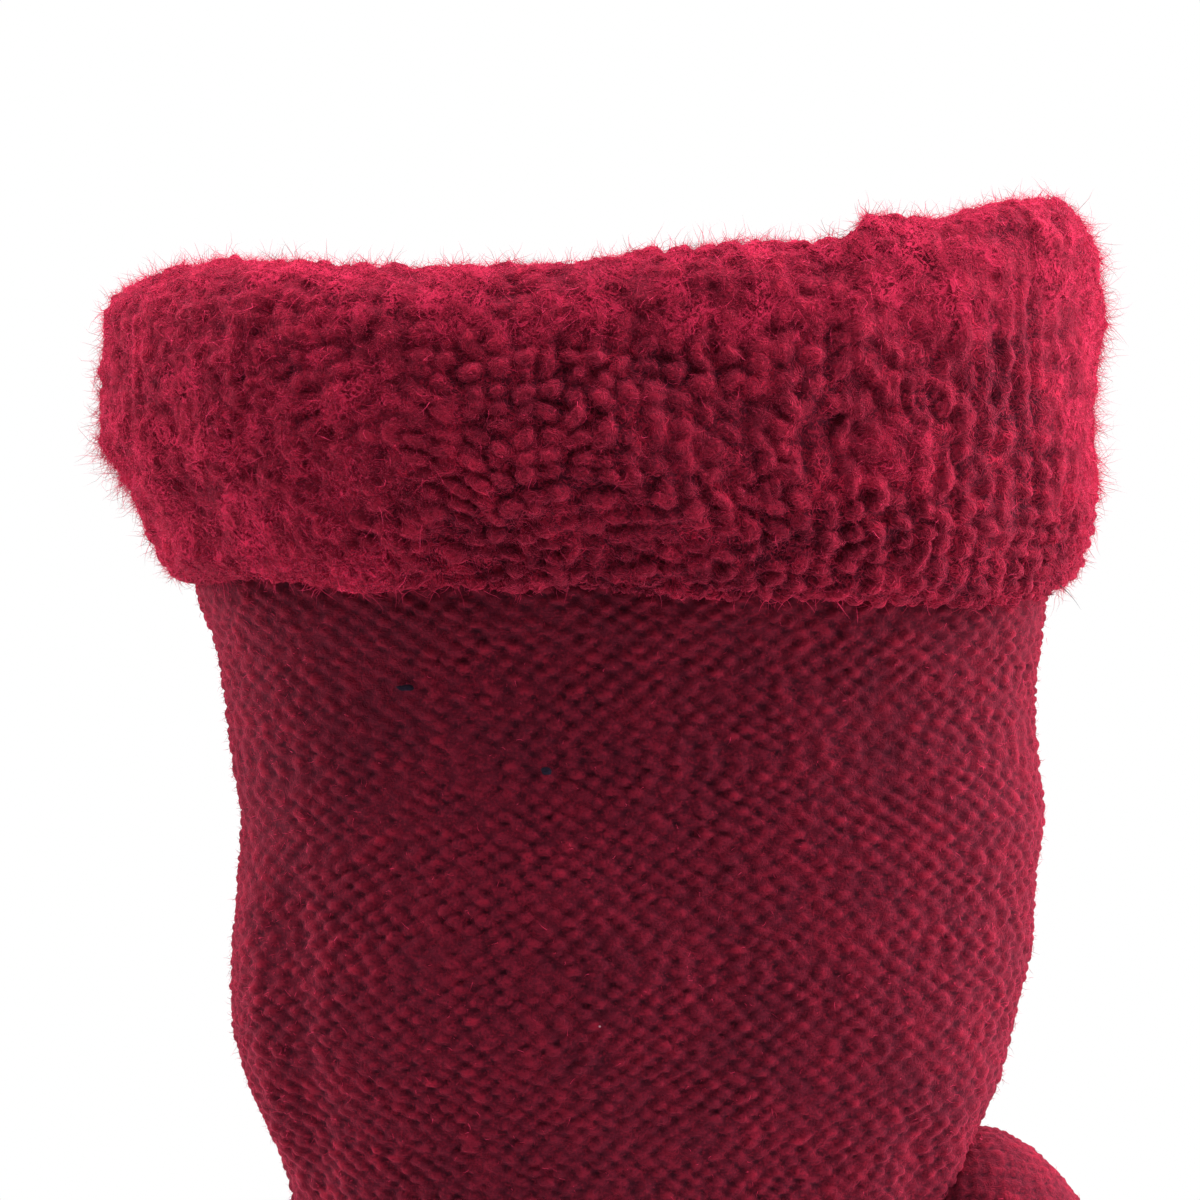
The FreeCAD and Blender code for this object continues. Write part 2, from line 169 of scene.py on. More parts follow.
def sections(rows, turns):
    """Points round each row: (z, centre x, half width, half depth, squareness, centre y).
    turns runs from 0 at the back of the hand, round by the thumb's side; it is a share of
    the way round, so that columns of stitches stay evenly wide."""
    z, cx, wide, deep, square, cy = (rows[:, k][:, None] for k in range(6))
    mid, half_way = FINE * 3 // 4, FINE // 2
    angle = np.linspace(-0.75 * TURN, 0.75 * TURN, 2 * mid + 1)[None, :] - math.pi / 2
    c, s = np.cos(angle), np.sin(angle)
    px = wide * np.sign(c) * np.abs(c) ** (2 / square)
    py = deep * np.sign(s) * np.abs(s) ** (2 / square)
    arc = np.concatenate([np.zeros((len(rows), 1)), np.cumsum(np.hypot(np.diff(px), np.diff(py)), 1)], 1)
    middle, full = arc[:, mid], arc[:, mid + half_way] - arc[:, mid - half_way]
    out = np.zeros((len(rows), len(turns), 3))
    for k in range(len(rows)):
        at = middle[k] + turns * full[k]
        out[k, :, 0] = np.interp(at, arc[k], px[k]) + cx[k]
        out[k, :, 1] = np.interp(at, arc[k], py[k]) + cy[k]
        out[k, :, 2] = z[k]
    return out, full


def unit(ways):
    """The same ways, each with a length of 1."""
    return ways / np.maximum(np.linalg.norm(ways, axis=-1, keepdims=True), 1e-9)


def facing(points, closed=False):
    """The outward normal at each point of a grid of points. A closed grid joins up round its rows."""
    if closed:
        points = np.concatenate([points[:, -1:], points, points[:, :1]], 1)
    normal = unit(np.cross(np.gradient(points, axis=0), np.gradient(points, axis=1)))
    return normal[:, 1:-1] if closed else normal


def mesh(name, points, faces, maps, material, depth=None):
    """A smooth mesh object at the origin from millimetre points, with a UV map and a depth.
    faces is a list of arrays, each with one face in a row."""
    data = bpy.data.meshes.new(name)
    data.vertices.add(len(points))
    data.vertices.foreach_set("co", (points * MM).astype(np.float32).ravel())
    sizes = np.concatenate([np.full(len(part), part.shape[1]) for part in faces])
    flat = np.concatenate([part.ravel() for part in faces])
    data.loops.add(len(flat))
    data.loops.foreach_set("vertex_index", flat.astype(np.int32))
    data.polygons.add(len(sizes))
    starts = np.concatenate([[0], np.cumsum(sizes)[:-1]])
    data.polygons.foreach_set("loop_start", starts.astype(np.int32))
    data.polygons.foreach_set("loop_total", sizes.astype(np.int32))
    data.polygons.foreach_set("use_smooth", np.ones(len(sizes), bool))
    data.update(calc_edges=True)
    if maps is not None:
        layer = data.uv_layers.new(name="stitches")
        layer.data.foreach_set("uv", maps[flat].astype(np.float32).ravel())
    if depth is not None:
        field = data.attributes.new("depth", "FLOAT", "POINT")
        field.data.foreach_set("value", depth.astype(np.float32))
    data.materials.append(material)
    thing = bpy.data.objects.new(name, data)
    bpy.context.scene.collection.objects.link(thing)
    return thing


def grid_faces(rows, columns, closed=False):
    """Quads over a grid of rows by columns, wound to face outwards."""
    r = np.arange(rows - 1)[:, None]
    c = np.arange(columns if closed else columns - 1)[None, :]
    n = (c + 1) % columns
    here, below = r * columns, (r + 1) * columns
    return np.stack([here + c, below + c, below + n, here + n], -1).reshape(-1, 4)


def pole_faces(rows, columns):
    """Triangles that close a tube of rows by columns onto a point at each end, listed after it."""
    c = np.arange(columns)
    n = (c + 1) % columns
    first, last = rows * columns, rows * columns + 1
    low = (rows - 1) * columns
    top = np.stack([np.full(columns, first), c, n], -1)
    bottom = np.stack([np.full(columns, last), low + n, low + c], -1)
    return np.concatenate([top, bottom])


def with_poles(values):
    """A tube's values, row by row, with the means of its first and last rows added at the end."""
    flat = values.reshape(-1, values.shape[-1])
    return np.concatenate([flat, values[:1].mean(1), values[-1:].mean(1)])


# ------------------------------------------------------------------ stitches


PIT = -0.16  # the floor between the bumps of the knit
GAP = -0.62  # the floor between the loops of the pile


def purl(a, b, wide, around=AROUND):
    """Height and shade of the purl face over columns a and rows b: short bumps of yarn in two
    sets, half a stitch apart both ways, each leaning a little, with a small hole, painted dark, beside
    each. shade is painted into the colour: painted shade, 0, in the holes and a painted highlight, 1, on
    the crests, brighter or dimmer at random from bump to bump."""
    height = np.full(a.shape, PIT)
    lit, hole = np.zeros(a.shape), np.zeros(a.shape)
    for half in (0.0, 0.5):
        i0, j0 = np.floor(a - half), np.floor(b - half)
        for i, j in ((i0, j0), (i0 + 1, j0), (i0, j0 + 1), (i0 + 1, j0 + 1)):
            k = np.mod(i, around)
            r1, r2, r3, r4, r5 = (chance(k, j, salt + half) for salt in (1, 2, 3, 4, 5))
            slip = 0.34 * (chance(0 * j, j, 6 + half) - 0.5)
            x = (a - half - i + 0.24 * (r1 - 0.5) + slip) * wide
            y = (b - half - j + 0.34 * (r2 - 0.5)) * COURSE
            lean = 0.7 * (r3 - 0.5) - 0.10
            u, v = x + lean * y, y - lean * x
            inside = 1 - (u / (0.60 + 0.24 * r3)) ** 2 - ((v - 0.20 * u * u) / (0.40 + 0.14 * r1)) ** 2
            height = np.maximum(height, PIT + (0.16 + 0.24 * r4) * np.sqrt(np.maximum(inside, 0)))
            lit = np.maximum(lit, np.sqrt(np.maximum(inside, 0)) * (0.36 + 0.64 * r4))
            x, y = x - 0.52 * wide - 0.3 * (r4 - 0.5), y + 0.3 * (r5 - 0.5)
            beside = np.exp(-((x / 0.34) ** 2) - ((y / 0.24) ** 2))
            hole = np.maximum(hole, beside * swell(r2, -0.1, 0.55))
    # shade: painted shade in the holes and a painted highlight on the crests, which the colour follows
    return height - 0.18 * hole, np.clip(0.43 + 0.57 * lit - 0.68 * hole, 0, 1)


def bobbles(a, b, soft):
    """Height of the turned-up cuff over its columns and rows: fat twisted loops, pushed about,
    with gaps between the columns. soft, from 0 to 1, is how far they are brushed flat."""
    height = np.full(a.shape, GAP)
    i0, j0 = np.floor(a), np.floor(b)
    for di in (-1, 0, 1, 2):
        for dj in (-1, 0, 1, 2):
            i, j = i0 + di, j0 + dj
            k = np.mod(i, CUFF_AROUND)
            r1, r2, r3, r4, r5 = (chance(k, j, salt) for salt in (11, 12, 13, 14, 15))
            x = (a - i - 0.34 * (r1 - 0.5)) * CUFF_WALE
            y = (b - j - 0.62 * (r2 - 0.5) - chance(k, 0 * j, 19)) * CUFF_COURSE
            turn = (r3 - 0.5) * 1.9 - 0.15
            c, s = np.cos(turn), np.sin(turn)
            along, across = x * c + y * s, -x * s + y * c
            across = across + 0.34 * (r5 - 0.5) * along**2
            long, broad = 0.95 + 0.35 * r4, 0.58 + 0.30 * r5
            inside = 1 - (along / long) ** 2 - (across / broad) ** 2
            ply = 0.11 * np.cos((along * 1.5 + across * 2.0) * 4.4 + r1 * 6)
            loop = GAP + (0.50 + 0.52 * r4) * np.sqrt(np.maximum(inside, 0)) + ply * (inside > 0.12)
            height = np.maximum(height, np.where(inside > 0, loop, GAP))
    return height * (1 - 0.55 * soft) + 0.05 * soft


# ------------------------------------------------------------------ fibres


def fibres(roots, normals, lengths, lie, seed, thick, joints, comb):
    """Fine three-sided hairs that curl from joint to joint and end in a point. lie, from 0 to 1,
    is how flat each starts out, and comb is the way they are brushed."""
    rng = np.random.default_rng(seed)
    n = len(roots)
    points = [roots - normals * 0.15]
    side = rng.normal(size=(n, 3)) + np.array(comb)
    side = unit(side - (side * normals).sum(1, keepdims=True) * normals)
    way = normals * (1 - lie)[:, None] + side * lie[:, None]
    pole = unit(rng.normal(size=(n, 3)))
    curl = rng.uniform(-4.6, 4.6, (n, 1)) / joints
    for _ in range(joints):
        way = way + (curl + rng.normal(size=(n, 1)) * 1.2 / joints) * np.cross(pole, way)
        way = way + rng.normal(size=(n, 3)) * 0.16
        inward = np.minimum((way * normals).sum(1, keepdims=True) - 0.06, 0)
        way = unit(way - inward * normals)
        points.append(points[-1] + way * (lengths / joints)[:, None])
    first = points[1] - points[0]
    e1 = unit(np.cross(first, rng.normal(size=(n, 3))))
    e2 = unit(np.cross(first, e1))
    rings = []
    for k, point in enumerate(points[:-1]):
        radius = thick * (1 - 0.75 * k / joints)
        for m in range(3):
            rings.append(point + radius * (math.cos(TURN * m / 3) * e1 + math.sin(TURN * m / 3) * e2))
    rings.append(points[-1])
    per = len(rings)
    verts = np.stack(rings, 1).reshape(-1, 3)
    base = (np.arange(n) * per)[:, None]
    corners = [(0, 2, 1)]
    for k in range(joints - 1):
        for m in range(3):
            p, q = 3 * k + m, 3 * k + (m + 1) % 3
            corners += [(p, q, q + 3), (p, q + 3, p + 3)]
    last = 3 * (joints - 1)
    corners += [(last + m, last + (m + 1) % 3, per - 1) for m in range(3)]
    return verts, np.concatenate([base + np.array([trio]) for trio in corners])


# ------------------------------------------------------------------ materials


class Tree:
    """A node tree with short ways to add and join nodes."""

    def __init__(self, tree):
        self.tree = tree
        tree.nodes.clear()

    def node(self, kind, **values):
        made = self.tree.nodes.new(kind)
        for key, value in values.items():
            setattr(made, key, value)
        return made

    def link(self, out, into):
        self.tree.links.new(out, into)

    def math(self, kind, a, b=None):
        made = self.node("ShaderNodeMath", operation=kind)
        for socket, value in zip(made.inputs, (a, b)):
            if isinstance(value, (int, float)):
                socket.default_value = value
            elif value is not None:
                self.link(value, socket)
        return made.outputs[0]

    def ramp(self, value, low, high):
        made = self.node("ShaderNodeMapRange", interpolation_type="SMOOTHSTEP")
        self.link(value, made.inputs["Value"])
        made.inputs["From Min"].default_value = low
        made.inputs["From Max"].default_value = high
        return made.outputs["Result"]

    def mix(self, amount, a, b):
        made = self.node("ShaderNodeMix", data_type="RGBA")
        for k, value in ((0, amount), (6, a), (7, b)):
            if isinstance(value, (tuple, float)):
                made.inputs[k].default_value = value
            else:
                self.link(value, made.inputs[k])
        return made.outputs[2]

    def noise(self, vector, scale, detail=2.0, swirl=0.0):
        made = self.node("ShaderNodeTexNoise")
        self.link(vector, made.inputs["Vector"])
        made.inputs["Scale"].default_value = scale
        made.inputs["Detail"].default_value = detail
        made.inputs["Distortion"].default_value = swirl
        return made.outputs["Fac"]

    def strand(self, value, wide):
        """1 along the thin lines where value passes a half, and 0 away from them."""
        return self.ramp(self.math("ABSOLUTE", self.math("SUBTRACT", value, 0.5)), wide, 0.0)

    def stretch(self, vector, scale=(1, 1, 1), turn=0.0, move=(0, 0, 0)):
        made = self.node("ShaderNodeMapping")
        self.link(vector, made.inputs["Vector"])
        made.inputs["Location"].default_value = move
        made.inputs["Scale"].default_value = scale
        made.inputs["Rotation"].default_value = (0, 0, turn)
        return made.outputs["Vector"]

    def bump(self, height, strength, distance, shader):
        made = self.node("ShaderNodeBump")
        made.inputs["Strength"].default_value = strength
        made.inputs["Distance"].default_value = distance * MM
        self.link(height, made.inputs["Height"])
        self.link(made.outputs["Normal"], shader.inputs["Normal"])


def new_finish(name):
    """An empty material, its tree, and each point's place on its object."""
    material = bpy.data.materials.new(name)
    material.use_nodes = True
    t = Tree(material.node_tree)
    return material, t, t.node("ShaderNodeTexCoord").outputs["Object"]


def new_group(name, inputs, outputs):
    """An empty node group with its sockets, its tree and its input sockets to link from."""
    group = bpy.data.node_groups.new(name, "ShaderNodeTree")
    kinds = {"f": "NodeSocketFloat", "v": "NodeSocketVector", "c": "NodeSocketColor"}
    for way, sockets in (("INPUT", inputs), ("OUTPUT", outputs)):
        for socket, kind in sockets:
            group.interface.new_socket(socket, in_out=way, socket_type=kinds[kind])
    t = Tree(group)
    return group, t, t.node("NodeGroupInput").outputs, t.node("NodeGroupOutput").inputs


def yarn_group():
    """Spun wool yarn: by Depth its colour takes painted shade, the Pit colour, in the pits and a painted
    highlight, the Crest colour, on the crests; it varies from stitch to stitch and is streaked by its
    fibres. Height is for a bump."""
    inputs = (("Depth", "f"), ("Place", "v"), ("Stitches", "v"))
    inputs += (("Pit", "c"), ("Yarn", "c"), ("Crest", "c"))
    group, t, given, out = new_group("spun_yarn", inputs, (("Color", "c"), ("Height", "f")))
    patches = t.noise(given["Place"], 90.0, 3.0)
    stitch = t.noise(given["Place"], 560.0, 2.0)
    strands = t.noise(t.stretch(given["Stitches"], (1.6, 7.0, 1.0), 0.2), 1.0, 3.0)
    hairs = t.noise(given["Place"], 3400.0, 3.0)
    # painted shade: the Pit colour where Depth is low, the Yarn colour above it
    body = t.mix(t.ramp(given["Depth"], 0.0, 0.62), given["Pit"], given["Yarn"])
    # painted highlight: the Crest colour on the highest crests, here and there from stitch to stitch
    lit = t.math("MULTIPLY", t.ramp(given["Depth"], 0.5, 1.0), t.ramp(stitch, 0.34, 0.68))
    body = t.mix(lit, body, given["Crest"])
    for mask, amount, colour in (
        (t.ramp(strands, 0.42, 0.22), 0.5, "Pit"),
        (t.ramp(hairs, 0.5, 0.70), 0.6, "Crest"),
        (t.ramp(patches, 0.6, 0.3), 0.3, "Pit"),
        (t.ramp(hairs, 0.47, 0.30), 0.6, "Pit"),
    ):
        body = t.mix(t.math("MULTIPLY", mask, amount), body, given[colour])
    t.link(body, out["Color"])
    high = t.math("ADD", t.math("MULTIPLY", strands, 0.6), t.math("MULTIPLY", hairs, 0.5))
    t.link(high, out["Height"])
    return group


def fluff_group():
    """Loose fluff over wool: curling hair lines, thick in some patches and thin in others."""
    inputs, outputs = (("Place", "v"), ("Thick", "f")), (("Cover", "f"), ("Shade", "f"))
    group, t, given, out = new_group("loose_fluff", inputs, outputs)
    long = t.strand(t.noise(given["Place"], 620.0, 2.0, 1.6), 0.045)
    short = t.strand(t.noise(t.stretch(given["Place"], move=(0.3, 0.1, 0.2)), 1200.0, 1.5, 1.3), 0.06)
    cloud = t.ramp(t.noise(given["Place"], 230.0, 3.0, 0.4), 0.36, 0.66)
    lines = t.math("MAXIMUM", long, t.math("MULTIPLY", short, 0.75))
    lines = t.math("MULTIPLY", lines, t.math("ADD", t.math("MULTIPLY", cloud, 0.6), 0.4))
    cover = t.math("ADD", lines, t.math("MULTIPLY", cloud, 0.22))
    t.link(t.math("MINIMUM", t.math("MULTIPLY", cover, given["Thick"]), 1.0), out["Cover"])
    t.link(t.noise(given["Place"], 420.0, 2.0), out["Shade"])
    return group


YARN, FLUFF = yarn_group(), fluff_group()
FLUFF_DEEP, FLUFF_BRIGHT = (0.22, 0.008, 0.025, 1), (0.40, 0.016, 0.052, 1)


def wool_shader(t, rough, sheen):
    """A dull surface with the glow of fine hairs at its edges."""
    shader = t.node("ShaderNodeBsdfPrincipled")
    shader.inputs["Roughness"].default_value = rough
    shader.inputs["Specular IOR Level"].default_value = 0.05
    shader.inputs["Sheen Weight"].default_value = sheen
    shader.inputs["Sheen Roughness"].default_value = 0.36
    shader.inputs["Sheen Tint"].default_value = (1.0, 0.08, 0.18, 1)
    t.link(shader.outputs[0], t.node("ShaderNodeOutputMaterial").inputs[0])
    return shader


def wool(name, pit, yarn, crest, fluff=0.3, sheen=0.3, bump=0.5, rough=0.95):
    """A knitted or brushed wool finish, with fluff over it."""
    material, t, place = new_finish(name)
    depth = t.node("ShaderNodeAttribute", attribute_name="depth").outputs["Fac"]
    stitches = t.node("ShaderNodeUVMap", uv_map="stitches").outputs["UV"]
    spun = t.node("ShaderNodeGroup", node_tree=YARN)
    for source, socket in ((depth, "Depth"), (place, "Place"), (stitches, "Stitches")):
        t.link(source, spun.inputs[socket])
    for key, colour in (("Pit", pit), ("Yarn", yarn), ("Crest", crest)):
        spun.inputs[key].default_value = (*colour, 1)
    loose = t.node("ShaderNodeGroup", node_tree=FLUFF)
    t.link(place, loose.inputs["Place"])
    loose.inputs["Thick"].default_value = fluff
    shader = wool_shader(t, rough, sheen)
    over = t.mix(t.ramp(loose.outputs["Shade"], 0.34, 0.66), (*yarn, 1), (*crest, 1))
    t.link(t.mix(loose.outputs["Cover"], spun.outputs["Color"], over), shader.inputs["Base Color"])
    t.bump(t.math("ADD", spun.outputs["Height"], loose.outputs["Cover"]), bump, 0.25, shader)
    return material


def fluff_finish():
    """The haze of brushed-up wool that stands off the cuff: hair lines with nothing between."""
    material, t, place = new_finish("cuff_haze")
    loose = t.node("ShaderNodeGroup", node_tree=FLUFF)
    t.link(place, loose.inputs["Place"])
    thick = t.node("ShaderNodeAttribute", attribute_name="depth").outputs["Fac"]
    t.link(thick, loose.inputs["Thick"])
    shader = wool_shader(t, 1.0, 0.2)
    tone = t.ramp(loose.outputs["Shade"], 0.3, 0.7)
    t.link(t.mix(tone, FLUFF_DEEP, FLUFF_BRIGHT), shader.inputs["Base Color"])
    t.link(t.ramp(loose.outputs["Cover"], 0.10, 1.05), shader.inputs["Alpha"])
    return material


def covered_elastic():
    """Elastic thread wound with fine yarn."""
    material, t, place = new_finish("covered_elastic")
    wound = t.noise(t.stretch(place, (1, 1, 0.15), 0.5), 2600.0, 2.0)
    shader = wool_shader(t, 0.7, 0.2)
    dark, pale = (0.06, 0.004, 0.01, 1), (0.2, 0.01, 0.03, 1)
    t.link(t.mix(t.ramp(wound, 0.35, 0.65), dark, pale), shader.inputs["Base Color"])
    return material


def satin_ribbon():
    """Blank woven satin: fine threads across and along, with no lettering."""
    material, t, place = new_finish("satin_ribbon")
    across = t.noise(t.stretch(place, (0.15, 1, 1)), 5200.0, 2.0)
    along = t.noise(t.stretch(place, (1, 1, 0.12)), 5200.0, 2.0)
    weave = t.math("MULTIPLY", t.math("ADD", across, along), 0.5)
    shader = wool_shader(t, 0.42, 0.1)
    shader.inputs["Specular IOR Level"].default_value = 0.4
    dark, pale = (0.62, 0.60, 0.57, 1), (0.86, 0.84, 0.81, 1)
    t.link(t.mix(t.ramp(weave, 0.35, 0.65), dark, pale), shader.inputs["Base Color"])
    t.bump(weave, 0.4, 0.08, shader)
    return material


# the colours of the pits, the yarn and its crests: painted shade in the pits and a painted highlight on
# the crests, laid on by depth
KNIT_TONES = (0.026, 0.0034, 0.0078), (0.083, 0.0053, 0.0134), (0.190, 0.0074, 0.0205)
PILE_TONES = (0.032, 0.0032, 0.0086), (0.145, 0.0062, 0.0185), (0.36, 0.0120, 0.0370)
BRUSHED_TONES = (0.08, 0.005, 0.014), (0.24, 0.010, 0.030), (0.42, 0.02, 0.06)
# the loose fibres are coloured far brighter than the yarn: a painted glow for the light through the fuzz,
# mixed by a random tint from hair to hair
FIBRE_TONES = (0.28, 0.010, 0.034), (0.52, 0.020, 0.068), (0.78, 0.055, 0.150)

KNIT = wool("crimson_knit", *KNIT_TONES, fluff=0.42, sheen=0.30)
PILE = wool("crimson_pile", *PILE_TONES, fluff=1.0, sheen=0.4, bump=1.0)
BRUSHED = wool("brushed_lining", *BRUSHED_TONES, fluff=0.9, sheen=0.4)
FIBRE = wool("loose_fibre", *FIBRE_TONES, fluff=0, bump=0.0)
HAZE = fluff_finish()

# ------------------------------------------------------------------ the knitted surfaces


def spread_over(points, normals, weight, count, seed):
    """Random places on a grid of points, more of them where weight is greater."""
    rng = np.random.default_rng(seed)
    picks = rng.choice(weight.size, size=count, p=weight.ravel() / weight.sum())
    jog = rng.normal(size=(count, 3)) * 0.12
    return points.reshape(-1, 3)[picks] + jog, normals.reshape(-1, 3)[picks], picks, rng


def hair_piece(
    name, points, normals, weight, count, long, seed, thick=0.02, joints=2, comb=(0, 0, 0), reach=None
):
    """A piece made only of loose hairs that stand on a grid of points, long from the shortest
    to the longest. reach lengthens or shortens them from place to place."""
    roots, away, picks, rng = spread_over(points, normals, weight, count, seed)
    lengths = rng.uniform(*long, count)
    if reach is not None:
        lengths = lengths * reach.ravel()[picks]
    lie = rng.uniform(0.45, 0.97, count)
    verts, tris = fibres(roots, away, lengths, lie, seed, thick, joints, comb)
    tint = rng.uniform(0.0, 1.0, count).repeat(len(verts) // count)
    return mesh(name, verts, [tris], np.zeros((len(verts), 2)), FIBRE, tint)


def knit_piece(name, base, stitches, relief, shade, material, trim=0, closed=False):
    """A piece of knitting from a smooth grid of points, raised by its stitches. trim columns
    at each side only serve to shape the edge; a closed piece is a tube with a point at each end."""
    points = base + facing(base, closed) * relief[..., None]
    outward = facing(points, closed)
    if trim:
        fields = (points, outward, relief, shade, stitches)
        points, outward, relief, shade, stitches = (v[:, trim:-trim] for v in fields)
    rows, columns = relief.shape
    # depth carries painted light into the colour: the stitches' painted shade and highlight, plus a
    # painted highlight where the surface turns side-on, away from the back and the palm
    depth = np.clip(shade + 0.28 * hump(outward[..., 1], 0, 0.42), 0, 1)[..., None]
    if closed:
        faces = [grid_faces(rows, columns, True), pole_faces(rows, columns)]
        verts, maps, depth = with_poles(points), with_poles(stitches), with_poles(depth)
    else:
        faces = [grid_faces(rows, columns)]
        verts, maps = points.reshape(-1, 3), stitches.reshape(-1, 2)
    thing = mesh(name, verts, faces, maps, material, depth.ravel())
    return thing, points, outward, relief


# The sleeve and the hand: (z, centre x, half width, half depth, squareness, centre y)
SLEEVE = [
    (-24, -1.2, 38.0, 21.5, 2.3, 0),
    (-31, -1.0, 38.0, 21.0, 2.3, 0),
    (-36, -0.5, 36.8, 20.2, 2.3, 0),
    (-41, -0.2, 36.1, 19.8, 2.3, 0),
    (-46, 0.3, 36.0, 19.6, 2.3, 0),
    (-51, 1.0, 36.0, 19.6, 2.3, 0),
    (-57, 0.5, 36.0, 19.8, 2.3, 0),
    (-64, -0.1, 36.0, 19.8, 2.3, 0),
    (-70, -0.8, 35.4, 19.2, 2.3, 0),
    (-75, -1.0, 34.0, 18.4, 2.3, 0),
    (-80, -1.2, 31.6, 17.4, 2.3, 0),
    (-85, -0.7, 30.2, 16.8, 2.3, 0),
    (-92, -0.2, 30.2, 16.4, 2.3, 0),
]
HAND = [
    (-92, -0.2, 30.2, 16.4, 2.3, 0),
    (-100, 0.1, 31.2, 16.0, 2.35, 0),
    (-112, 0.3, 33.6, 15.2, 2.4, 0),
    (-124, 0.2, 35.6, 14.4, 2.5, 0),
    (-138, 0.0, 37.2, 12.8, 2.7, 0),
    (-150, 0.0, 38.4, 11.2, 2.9, 0),
    (-156, 0.0, 37.8, 9.4, 2.9, 0),
    (-159, 0.0, 35.5, 6.2, 2.9, 0),
    (-160, 0.0, 32.0, 1.2, 2.9, 0),
]
FRONT_SHARE = 0.31  # the front pieces run this far round each way from the middle of the back
TRIM = 2  # spare columns at each side of a front or back piece


def side_turns(front, step_front=0.31, step_back=0.5, around=185.0):
    """Places round a front or back piece, as shares of the way round. Its steps are in mm."""
    low, high = (-FRONT_SHARE, FRONT_SHARE) if front else (FRONT_SHARE, 1 - FRONT_SHARE)
    count = int((high - low) * around / (step_front if front else step_back))
    step = (high - low) / (count - 1)
    return low + step * np.arange(-TRIM, count + TRIM)


def soften(points):
    """The slack of the worn fabric: soft swells, a long ridge down the little finger's side and
    a fold beside the thumb."""
    x, y, z = points[..., 0], points[..., 1], points[..., 2]
    loose = 0.5 * drift(points, 17.0, 5) + 0.24 * drift(points, 7.0, 6)
    back = swell(-y, 3, 8)
    line = x + 32.4 - 1.1 * np.sin(z / 8.0)
    fade = swell(-z, 52, 60) * (1 - swell(-z, 92, 102)) * back
    ridge = 0.65 * hump(line, 0, 1.7) - 0.4 * hump(line, 3.8, 1.6)
    low = swell(-z, 74, 81) * (1 - swell(-z, 92, 100)) * back
    fold = 0.6 * hump(x, 28.5, 1.8) - 0.5 * hump(x, 24.6, 1.5)
    return loose + ridge * fade + fold * low


def body_piece(name, stations, rows, front, first_course):
    """A purl piece down the sleeve or the hand. The last value is the course that it ends on."""
    turns = side_turns(front)
    path = through(stations, rows)
    base, around = sections(path, turns)
    base = base + facing(base) * soften(base)[..., None]
    run = run_along(path)
    a = np.broadcast_to(turns[None, :] * AROUND, base.shape[:2])
    b = np.broadcast_to((first_course + run / COURSE)[:, None], base.shape[:2])
    b = b + 0.55 * np.sin(TURN * (turns[None, :] + 0.1)) + 0.4 * drift(base, 15.0, 21)
    a = a + 0.3 * drift(base, 18.0, 22)
    relief, shade = purl(a, b, (around / AROUND)[:, None])
    relief = relief * (0.95 + 0.25 * drift(base, 8.0, 23)) + 0.04 * drift(base, 0.75, 24)
    stitches = np.stack([a * WALE, b * COURSE], -1)
    made, points, outward, relief = knit_piece(name, base, stitches, relief, shade, KNIT, trim=TRIM)
    return made, points, outward, relief, first_course + run[-1] / COURSE


def hair_weight(points, relief):
    """Hairs stand on the crests, more of them at the sides and in rubbed patches."""
    side = swell(np.abs(points[..., 0]), 24, 34)
    return (0.25 + 2.4 * side) * (0.6 + 0.4 * drift(points, 12.0, 31)) * np.clip(relief + 0.35, 0.05, 1)


HAIR_LONG = (0.35, 1.0)  # the shortest and the longest loose hair on the knit

for front, word in ((True, "front"), (False, "back")):
    sleeve, points, outward, relief, course = body_piece(f"sleeve_{word}", SLEEVE, 262, front, 0.0)
    weight = hair_weight(points, relief)
    count = 10000 if front else 3500
    hairs = hair_piece(f"sleeve_{word}_hairs", points, outward, weight, count, HAIR_LONG, 31 + front)
    for thing in (sleeve, hairs):
        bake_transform(thing)
    if front:
        SLEEVE_FRONT = points, outward
    palm, points, outward, relief, _ = body_piece(f"hand_{word}", HAND, 170, front, course)
    weight = hair_weight(points, relief)
    hairs = hair_piece(f"hand_{word}_hairs", points, outward, weight, count // 3, HAIR_LONG, 41 + front)
    for thing in (palm, hairs):
        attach(thing, "hand")
    if front:
        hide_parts("wrist_shell")
        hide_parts("hand_shell")

# ------------------------------------------------------------------ the cuff

CUFF_AROUND, CUFF_WALE, CUFF_COURSE = 104, 2.25, 1.65
# (z, centre x, half width, half depth, squareness, centre y), up the inside, over the fold and
# down the outside to the hem
CUFF = [
    (-16.0, -0.8, 34.3, 17.8, 2.3, 0),
    (-8.5, -1.0, 34.8, 18.2, 2.3, 0),
    (-4.6, -1.1, 35.6, 19.0, 2.3, 0),
    (-2.4, -1.3, 37.2, 20.6, 2.35, 0),
    (-1.9, -1.6, 39.4, 22.8, 2.4, 0),
    (-2.8, -2.3, 42.3, 25.0, 2.4, 0),
    (-4.8, -2.9, 43.9, 26.6, 2.4, 0),
    (-9.0, -3.0, 44.2, 27.4, 2.4, 0),
    (-13.5, -2.8, 44.2, 27.7, 2.4, 0),
    (-18.0, -2.6, 44.2, 27.5, 2.35, 0),
    (-22.5, -1.6, 43.4, 26.8, 2.3, 0),
    (-26.4, -1.1, 41.9, 25.6, 2.3, 0),
    (-29.0, -0.7, 39.9, 24.4, 2.3, 0),
    (-29.8, -0.9, 38.9, 23.0, 2.3, 0),
    (-28.4, -1.2, 37.6, 21.2, 2.3, 0),
]


def crown_lift(x, y):
    """The fold isn't level: it dips left of the middle, stands up in a hump at the thumb's
    side, and slumps at the back."""
    front = -1.1 * hump(x, -18, 14.0) + 1.0 * swell(x, -2, 9) - 0.3 * swell(x, 12, 17)
    front = front + 1.6 * swell(x, 17, 20) + 2.9 * swell(x, 20, 34) - 2.2 * swell(x, 37, 43.5)
    front = front - 0.9 * swell(-x, 36, 45) + 0.9 * hump(x, 19.8, 3.2) - 0.7 * swell(x, 36, 41)
    front = front + 0.8 * swell(x, -6, 1) * (1 - swell(x, 20, 27))
    behind = swell(y, -12, 14)
    return front + 1.2 * (1 - behind) - 1.5 * behind


